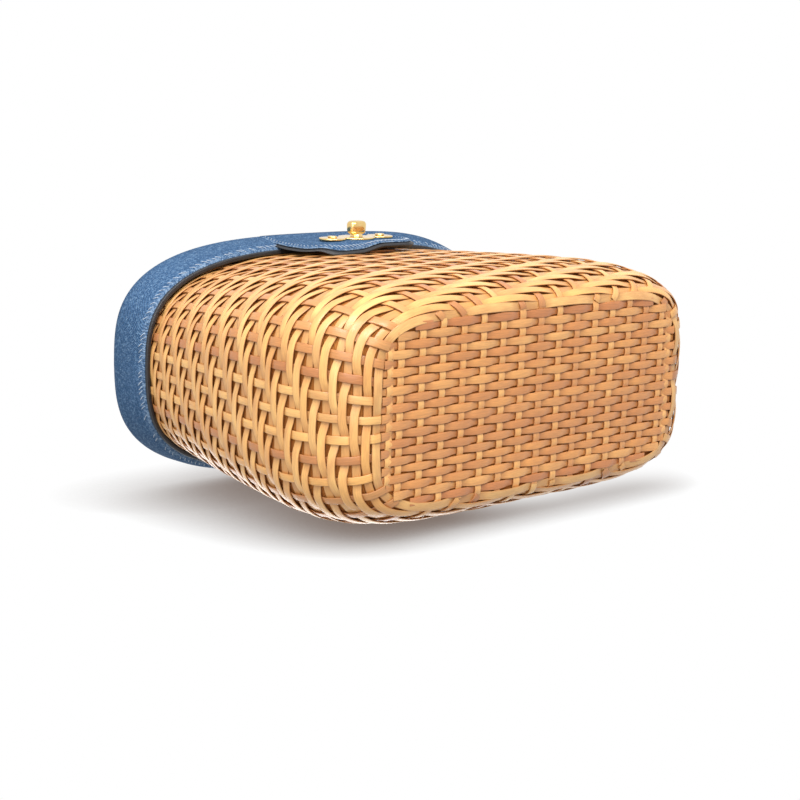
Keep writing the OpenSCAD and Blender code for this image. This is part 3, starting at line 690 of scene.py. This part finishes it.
def flap_sheet(name, half, top, low, r, back, front, mat, edge, roll=0.0):
    """Closed sheet between two depths behind the flap's face, with a rounded edge; roll thickens its foot."""
    x, z = tongue(half, top, low, r)
    back = back + roll * smooth_step((flap_low + 6 - z) / 6)
    rows, cols = x.shape
    away = np.clip(np.minimum.reduce([np.abs(x - x[:, :1]), np.abs(x[:, -1:] - x), z - low]) / edge, 0, 1)
    soft = 1 - np.sqrt(1 - (1 - away) ** 2)
    thin = soft * (back - front) * 0.4
    face = flap_face(x, z) - front - thin
    rear = flap_face(x, z) - back + thin
    sheet = np.concatenate([np.stack([x, -face, z], -1), np.stack([x, -rear, z], -1)[:, ::-1]], 1)
    wear = np.concatenate([0.75 * soft, 0.75 * soft[:, ::-1]], 1)
    quads = grid_quads(rows, 2 * cols, wrap_cols=True, flip=True)
    ends = [[q, q + 1, 2 * cols - 2 - q, 2 * cols - 1 - q] for q in range(cols - 1)]
    last = (rows - 1) * 2 * cols
    quads = np.concatenate([quads, ends, [[last + e for e in reversed(f)] for f in ends]])
    obj = make_mesh(name, sheet.reshape(-1, 3), quads, {"cloth": sheet.reshape(-1, 3), "wear": wear.ravel()})
    obj.data.materials.append(mat)
    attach(obj, "lid")
    return obj


flap_denim = flap_sheet("flap_denim", flap_w / 2, flap_top, flap_low, flap_r, denim_t, 0.0, denim, 1.4)
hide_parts("flap", "flap_welt")
flap_back = flap_sheet("flap_leather", flap_w / 2 + flap_border, flap_top - 0.3, flap_low - flap_border,
                       flap_r + flap_border, denim_t + leather_t, denim_t, black_leather, 0.8, roll=1.1)
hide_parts("flap_lining")

stitch_in = 1.6
stitch_r = flap_r - stitch_in
path = [(-flap_w / 2 + stitch_in, z) for z in np.linspace(flap_top - 2, flap_low + flap_r, 20)]
path += [(-flap_w / 2 + flap_r - stitch_r * math.cos(a), flap_low + flap_r - stitch_r * math.sin(a))
         for a in arc(4, 90, 14)]
path += [(-x, z) for x, z in reversed(path)]
path = np.array(path)
way = np.concatenate([[0], np.cumsum(np.hypot(*np.diff(path, axis=0).T))])
flap_paths = []
for u in np.arange(1.5, way[-1] - 1.5, 2.3):
    t = np.linspace(-0.5, 0.5, 7)
    here = np.array([np.interp(u + 1.9 * t, way, path[:, q]) for q in (0, 1)])
    ahead = np.gradient(here, axis=1)
    ahead /= np.linalg.norm(ahead, axis=0)
    x, z = here[0] + ahead[1] * 1.9 * t, here[1] - ahead[0] * 1.9 * t
    flap_paths.append(np.stack([x, -flap_face(x, z) - 0.06 - 0.2 * np.cos(np.pi * t), z], -1))
flap_stitches = tubes("flap_stitches", flap_paths, LIGHT_STITCH_R, thread)
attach(flap_stitches, "lid")

# Solids with softened edges


def softened(node, name, body, mat, width):
    """Copy of a solid with its sharp edges rounded, standing for the solid."""
    bm = bmesh.new()
    bm.from_mesh(NODES[node].data)
    bmesh.ops.remove_doubles(bm, verts=bm.verts, dist=1e-6)
    bmesh.ops.dissolve_limit(bm, angle_limit=math.radians(1), verts=bm.verts, edges=bm.edges)
    sharp = [e for e in bm.edges if len(e.link_faces) == 2 and e.calc_face_angle(0) > math.radians(35)]
    bmesh.ops.bevel(bm, geom=sharp, offset=width * MM, segments=3, profile=0.5, affect="EDGES",
                    clamp_overlap=True)
    bmesh.ops.triangulate(bm, faces=[f for f in bm.faces if len(f.verts) > 4])
    for f in bm.faces:
        f.smooth = True
    mesh = bpy.data.meshes.new(name)
    bm.to_mesh(mesh)
    bm.free()
    mesh.set_sharp_from_angle(angle=math.radians(40))
    mesh.materials.append(mat)
    obj = bpy.data.objects.new(name, mesh)
    bpy.context.scene.collection.objects.link(obj)
    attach(obj, body)
    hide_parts(node)


GOLD_PARTS = (("lock_plate", "lid", 0.3), ("lock_rivets", "lid", 0.5), ("hinge_tab_rivets", "lid", 0.5),
              ("hinge_leaf_rivets", "basket", 0.5), ("keeper_left", "basket", 0.15),
              ("keeper_right", "basket", 0.15), ("keeper_rivets", "basket", 0.4),
              ("handle_lug_left", "lid", 0.3), ("handle_lug_right", "lid", 0.3))
for node, body, width in GOLD_PARTS:
    softened(node, node + "_gold", body, gold_metal, width)
for node, body in (("hinge_tab_left", "lid"), ("hinge_tab_right", "lid"), ("hinge_leaf_left", "basket"),
                   ("hinge_leaf_right", "basket")):
    softened(node, node + "_leather", body, black_leather, 0.45)
softened("keeper_patch", "keeper_patch_leather", "basket", caramel_leather, 0.2)

# Turn knob: a rounded block, a little wider outwards, on a short neck

knob_low, knob_high = (np.array(v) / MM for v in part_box("turn_knob"))
knob_y = knob_low[1] + 3.8
KNOB_COLS, KNOB_ROWS = 48, 25
KNOB_HALF_X, KNOB_HALF_Y, KNOB_HALF_Z = 4.9, 3.5, 3.3
turn = np.linspace(0, 2 * np.pi, KNOB_COLS, endpoint=False)
around, across = np.meshgrid(turn, np.linspace(-np.pi / 2, np.pi / 2, KNOB_ROWS))


def sharpen(v, p):
    return np.sign(v) * np.abs(v) ** p


wide = sharpen(np.cos(across), 0.55)
block = np.stack([wide * sharpen(np.cos(around), 0.7) * KNOB_HALF_X,
                  sharpen(np.sin(across), 0.55) * KNOB_HALF_Y,
                  wide * sharpen(np.sin(around), 0.7) * KNOB_HALF_Z], -1)
flare = 1 - 0.05 * (block[..., 1:2] / KNOB_HALF_Y)
block = block * np.concatenate([flare, np.ones_like(flare), flare], -1)
block += [0, knob_y, lock_z]
neck_y = np.array([knob_high[1], knob_high[1] - 0.3, knob_high[1] - 0.7, knob_high[1] - 1.6, knob_y])
neck_r = np.array([3.3, 3.3, 2.9, 2.8, 3.0])
neck = np.stack([neck_r[:, None] * np.cos(turn), np.repeat(neck_y[:, None], KNOB_COLS, 1),
                 lock_z + neck_r[:, None] * np.sin(turn)], -1)
neck_quads = grid_quads(len(neck_r), KNOB_COLS, wrap_cols=True, flip=True) + KNOB_ROWS * KNOB_COLS
quads = np.concatenate([grid_quads(KNOB_ROWS, KNOB_COLS, wrap_cols=True), neck_quads])
knob = make_mesh("turn_knob_gold", np.concatenate([block.reshape(-1, 3), neck.reshape(-1, 3)]), quads)
knob.data.materials.append(gold_metal)
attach(knob, "knob")
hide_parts("turn_knob")

# Hinge bends, and stitches on the straps and the grip

hinge_z, strap_in = lid_line + piping_h / 2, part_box("hinge_tab_left")[0].y / MM
strap_x, strap_half, strap_t = 38, 8.9, 1.6
strap_mid = strap_in + strap_t / 2
stitch_arch = 0.16 * np.sin(np.linspace(0, np.pi, 5))
strap_paths = {"basket": [], "lid": []}
for side, name in ((-1, "left"), (1, "right")):
    z = np.linspace(hinge_z - 2.6, hinge_z + 2.6, 15)
    turn = np.linspace(0, 2 * np.pi, 32, endpoint=False)
    thin = 0.72 - 0.12 * np.cos(np.pi * (z - hinge_z) / 5.2)
    x = side * strap_x + sharpen(np.cos(turn), 0.25) * strap_half
    y = strap_mid + thin[:, None] * sharpen(np.sin(turn), 0.35)
    loop = np.stack([np.repeat(x[None], 15, 0), y, np.repeat(z[:, None], 32, 1)], -1)
    piece = make_mesh("hinge_bend_" + name, loop.reshape(-1, 3), grid_quads(15, 32, wrap_cols=True))
    piece.data.materials.append(black_leather)
    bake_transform(piece)
    for node, body in (("hinge_leaf_", "basket"), ("hinge_tab_", "lid")):
        low, high = (np.array(v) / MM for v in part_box(node + name))
        lean = (high[1] - strap_t - low[1]) if body == "basket" else 0.0
        for edge in (low[0] + stitch_in, high[0] - stitch_in):
            for z0 in np.arange(low[2] + 1.5, high[2] - 2.5, 3.0):
                z = np.linspace(z0, z0 + 2.0, 5)
                y = low[1] + strap_t + lean * (z - low[2]) / (high[2] - low[2]) + 0.05 + stitch_arch
                strap_paths[body].append(np.stack([np.full(5, edge), y, z], -1))
dark_thread = leather_material("dark_thread", (0.03, 0.028, 0.026), (0.06, 0.055, 0.05), 0.6)
for body, paths in strap_paths.items():
    piece = tubes("hinge_stitches_" + body, paths, DARK_STITCH_R, dark_thread)
    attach(piece, body)

grip_low, grip_high = (np.array(v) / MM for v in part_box("handle_grip"))
grip_r, bend_r = (grip_high[2] - grip_low[2]) / 2, 12.0
leg_x = (grip_high[0] - grip_low[0]) / 2 - grip_r
bar_y, grip_z = grip_high[1] - grip_r, (grip_high[2] + grip_low[2]) / 2
spine = [(-leg_x, y) for y in np.linspace(grip_low[1] + 1, bar_y - bend_r, 12)]
spine += [(-leg_x + bend_r - bend_r * math.cos(a), bar_y - bend_r + bend_r * math.sin(a))
          for a in arc(5, 90, 14)]
spine = np.array(spine + [(-x, y) for x, y in reversed(spine)])
way = np.concatenate([[0], np.cumsum(np.hypot(*np.diff(spine, axis=0).T))])
seam = []
for u in np.arange(1.5, way[-1] - 3, 3.2):
    t = u + np.linspace(0, 2.1, 5)
    seam.append(np.stack([np.interp(t, way, spine[:, 0]), np.interp(t, way, spine[:, 1]),
                          grip_z + grip_r - 0.02 + stitch_arch], -1))
grip_stitches = tubes("grip_stitches", seam, DARK_STITCH_R, dark_thread)
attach(grip_stitches, "handle")

# Inside: cloth lining of the basket, lining of the lid and binding of the rim

LINE_COLS, LINE_ROWS = 240, 40
line_i = np.arange(LINE_COLS) / LINE_COLS * stakes
line_turn = line_i * 2 * np.pi / stakes
ripple = 0.25 * np.sin(line_turn * 37) + 0.2 * np.sin(line_turn * 23 + 1.3)
line_out = crest - 3 - 0.3
rings = [wall(line_i, h, line_out)[0] for h in np.linspace(wall_length, 3, LINE_ROWS)]
rings += [wall(line_i, h, line_out - 1.2 + ripple * math.sin(math.pi * h / wall_length))[0]
          for h in np.linspace(3, wall_length, 60)]
foot_ring = rings[LINE_ROWS]
rings[LINE_ROWS:LINE_ROWS] = [foot_ring * [f, f, 0] + [0, 0, crest + 3.5]
                              for f in np.linspace(0.03, 0.97, 16)]
lining_quads = grid_quads(LINE_ROWS, LINE_COLS, wrap_cols=True)
lining = make_mesh("basket_lining_cloth", np.concatenate(rings[:LINE_ROWS]), lining_quads)
inner_quads = grid_quads(len(rings) - LINE_ROWS, LINE_COLS, wrap_cols=True, flip=True)
inner = make_mesh("basket_lining_inside", np.concatenate(rings[LINE_ROWS:]), inner_quads)
for piece in (lining, inner):
    piece.data.materials.append(lining_cloth)
    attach(piece, "basket")
    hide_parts("basket_lining")

inset = denim_t + 0.1 + leather_t
profile = [(edge_o - inset, lid_low + 0.2)]
profile += [(lid_out - inset - lid_tuck * (1 - math.sin(a)), lid_low + tuck_h * (1 - math.cos(a)))
            for a in arc(10, 90, 8)]
round_in = lid_round - inset
profile += [(lid_out - inset - round_in * (1 - math.cos(a)), lid_top - inset - round_in * (1 - math.sin(a)))
            for a in arc(0, 90, 10)]
profile += [(lid_out - inset - round_in, lid_top - inset, f) for f in np.linspace(0.97, 0.001, 20)]
lid_inside = ring_mesh("lid_lining_leather", profile, black_leather)
lid_inside.data.flip_normals()
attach(lid_inside, "lid")
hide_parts("lid_lining")

bind_low, bind_high = (np.array(v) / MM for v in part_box("rim_binding"))
bind_out, bind_in = bind_high[0] - mouth_w / 2, bind_high[0] - mouth_w / 2 - 5.3
profile = band_section(bind_in, bind_out, bind_low[2], bind_high[2], 1.2)
binding = ring_mesh("rim_binding_leather", profile, black_leather, closed=True, square=rim_square)
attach(binding, "basket")
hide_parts("rim_binding")

# Solids that keep their shape

KEPT_SOLIDS = (("lock_washer", gold_metal), ("lock_spindle", gold_metal), ("catch_bar", gold_metal),
               ("handle_grip", black_leather), ("handle_end_left", gold_metal),
               ("handle_end_right", gold_metal))
for name, mat in KEPT_SOLIDS:
    for place in NODES[name].material_slots:
        place.material = mat

# Stage: floor, the surface the bag lies on in the photograph, lamps and camera

F, PHI, PITCH, THETA = 1738.54, math.radians(42.89), math.radians(8.87), math.radians(2.58)
TX, TY, TZ = 62.26, -118.15, 768.13
long_way = Vector((0, math.sin(THETA), math.cos(THETA)))
ground_up = Vector((0, -math.cos(THETA), math.sin(THETA)))
right = Vector((math.cos(PHI), 0, 0)) - long_way * math.sin(PHI)
away = Vector((math.sin(PHI), 0, 0)) + long_way * math.cos(PHI)
up = ground_up * math.cos(PITCH) + away * math.sin(PITCH)
ahead = away * math.cos(PITCH) - ground_up * math.sin(PITCH)
camera = bpy.data.objects.new("camera", bpy.data.cameras.new("camera"))
camera.data.sensor_width = 36
camera.data.lens = F * 36 / 800
camera.data.clip_start, camera.data.clip_end = 0.01, 50
place = (right * -TX - ground_up * TY - away * TZ) * MM
axes = Matrix((right, up, -ahead)).transposed().to_4x4()
camera.matrix_world = Matrix.Translation(place) @ axes
bpy.context.scene.collection.objects.link(camera)
bpy.context.scene.camera = camera


def stage_material(name, fades):
    """White ground that keeps a contact shadow and is clear from behind.

    Where it fades, the shadow thins out towards +X and reaches further beside the lid.
    """
    mat = bpy.data.materials.new(name)
    mat.use_nodes = True
    tree = mat.node_tree
    tree.nodes.remove(tree.nodes["Principled BSDF"])
    shade = tree.nodes.new("ShaderNodeAmbientOcclusion")
    shade.samples = 12
    shade.inputs["Distance"].default_value = 0.03
    dark = tree.nodes.new("ShaderNodeMath")
    dark.operation = "MULTIPLY_ADD"
    dark.inputs[1].default_value, dark.inputs[2].default_value = -1.0, 1.0
    tree.links.new(shade.outputs["AO"], dark.inputs[0])
    front = tree.nodes.new("ShaderNodeNewGeometry")
    facing = tree.nodes.new("ShaderNodeMath")
    facing.operation = "SUBTRACT"
    facing.inputs[0].default_value = 1
    tree.links.new(front.outputs["Backfacing"], facing.inputs[1])
    both = tree.nodes.new("ShaderNodeMath")
    both.operation = "MULTIPLY"
    tree.links.new(dark.outputs[0], both.inputs[0])
    tree.links.new(facing.outputs[0], both.inputs[1])
    if fades:
        spot = tree.nodes.new("ShaderNodeSeparateXYZ")
        tree.links.new(tree.nodes.new("ShaderNodeTexCoord").outputs["Object"], spot.inputs[0])
        beyond = tree.nodes.new("ShaderNodeMath")
        beyond.operation = "MULTIPLY"
        for axis, low, high in ((0, -0.04, 0.04), (1, -0.06, 0.0)):
            ramp = tree.nodes.new("ShaderNodeMapRange")
            ramp.interpolation_type = "SMOOTHSTEP"
            ramp.inputs["From Min"].default_value = low
            ramp.inputs["From Max"].default_value = high
            tree.links.new(spot.outputs[axis], ramp.inputs["Value"])
            tree.links.new(ramp.outputs[0], beyond.inputs[axis])
        reach = tree.nodes.new("ShaderNodeMapRange")
        for key, value in (("From Min", -0.06), ("From Max", 0.1), ("To Min", 0.024), ("To Max", 0.05)):
            reach.inputs[key].default_value = value
        tree.links.new(spot.outputs[1], reach.inputs["Value"])
        tree.links.new(reach.outputs[0], shade.inputs["Distance"])
        kept = tree.nodes.new("ShaderNodeMath")
        kept.operation = "SUBTRACT"
        kept.use_clamp = True
        tree.links.new(facing.outputs[0], kept.inputs[0])
        tree.links.new(beyond.outputs[0], kept.inputs[1])
        tree.links.new(kept.outputs[0], both.inputs[1])
    clear = tree.nodes.new("ShaderNodeBsdfTransparent")
    grey = tree.nodes.new("ShaderNodeEmission")
    grey.inputs[0].default_value = (0.2, 0.15, 0.125, 1)
    mix = tree.nodes.new("ShaderNodeMixShader")
    tree.links.new(both.outputs[0], mix.inputs[0])
    tree.links.new(clear.outputs[0], mix.inputs[1])
    tree.links.new(grey.outputs[0], mix.inputs[2])
    tree.links.new(mix.outputs[0], tree.nodes["Material Output"].inputs[0])
    return mat


def stage_plane(name, middle, normal, fades):
    side = 1500
    corners = [(-side, -side, 0), (side, -side, 0), (side, side, 0), (-side, side, 0)]
    obj = make_mesh(name, corners, [(0, 1, 2, 3)])
    turned = normal.to_track_quat("Z", "Y").to_matrix().to_4x4()
    obj.matrix_world = Matrix.Translation(Vector(middle) * MM) @ turned
    obj.data.materials.append(stage_material(name + "_white", fades))
    obj.visible_diffuse = obj.visible_glossy = obj.visible_transmission = obj.visible_shadow = False


stage_plane("floor", (0, 0, -0.3), Vector((0, 0, 1)), False)
stage_plane("lying_ground", (0, base_d / 2 + belly_out_d + crest + 1.2, belly_h), ground_up, True)


def lamp(name, place, aim, size, power):
    data = bpy.data.lights.new(name, "AREA")
    data.shape, data.size, data.energy = "DISK", size, power
    obj = bpy.data.objects.new(name, data)
    obj.location = place
    obj.rotation_euler = (Vector(aim) - Vector(place)).to_track_quat("-Z", "Y").to_euler()
    bpy.context.scene.collection.objects.link(obj)


middle = Vector((0, 0, 0.07))
lamp("key", middle + ground_up * 1.0 - away * 0.5 - right * 0.35, middle, size=0.6, power=8.3)
lamp("second", middle + ground_up * 0.9 - away * 0.7 + right * 0.4, middle, size=0.6, power=9.6)
lamp("fill", middle - away * 1.0 + ground_up * 0.35 - right * 0.3, middle, size=1.0, power=5.2)
lamp("back", middle + Vector((0.4, 0.9, 0.9)), middle, size=1.2, power=7.0)

world = bpy.data.worlds.new("studio")
bpy.context.scene.world = world
world.use_nodes = True
tree = world.node_tree
soft, white = tree.nodes["Background"], tree.nodes.new("ShaderNodeBackground")
soft.inputs[0].default_value, soft.inputs[1].default_value = (1, 1, 1, 1), 0.48
white.inputs[0].default_value, white.inputs[1].default_value = (1, 1, 1, 1), 1.0
ray = tree.nodes.new("ShaderNodeLightPath")
seen = tree.nodes.new("ShaderNodeMath")
seen.operation, seen.use_clamp = "ADD", True
mirrored = tree.nodes.new("ShaderNodeMath")
mirrored.operation, mirrored.use_clamp = "ADD", True
tree.links.new(ray.outputs["Is Glossy Ray"], mirrored.inputs[0])
tree.links.new(ray.outputs["Is Transmission Ray"], mirrored.inputs[1])
tree.links.new(ray.outputs["Is Camera Ray"], seen.inputs[0])
tree.links.new(mirrored.outputs[0], seen.inputs[1])
pick = tree.nodes.new("ShaderNodeMixShader")
tree.links.new(seen.outputs[0], pick.inputs[0])
tree.links.new(soft.outputs[0], pick.inputs[1])
tree.links.new(white.outputs[0], pick.inputs[2])
tree.links.new(pick.outputs[0], tree.nodes["World Output"].inputs[0])

bpy.context.scene.view_settings.view_transform = "Standard"
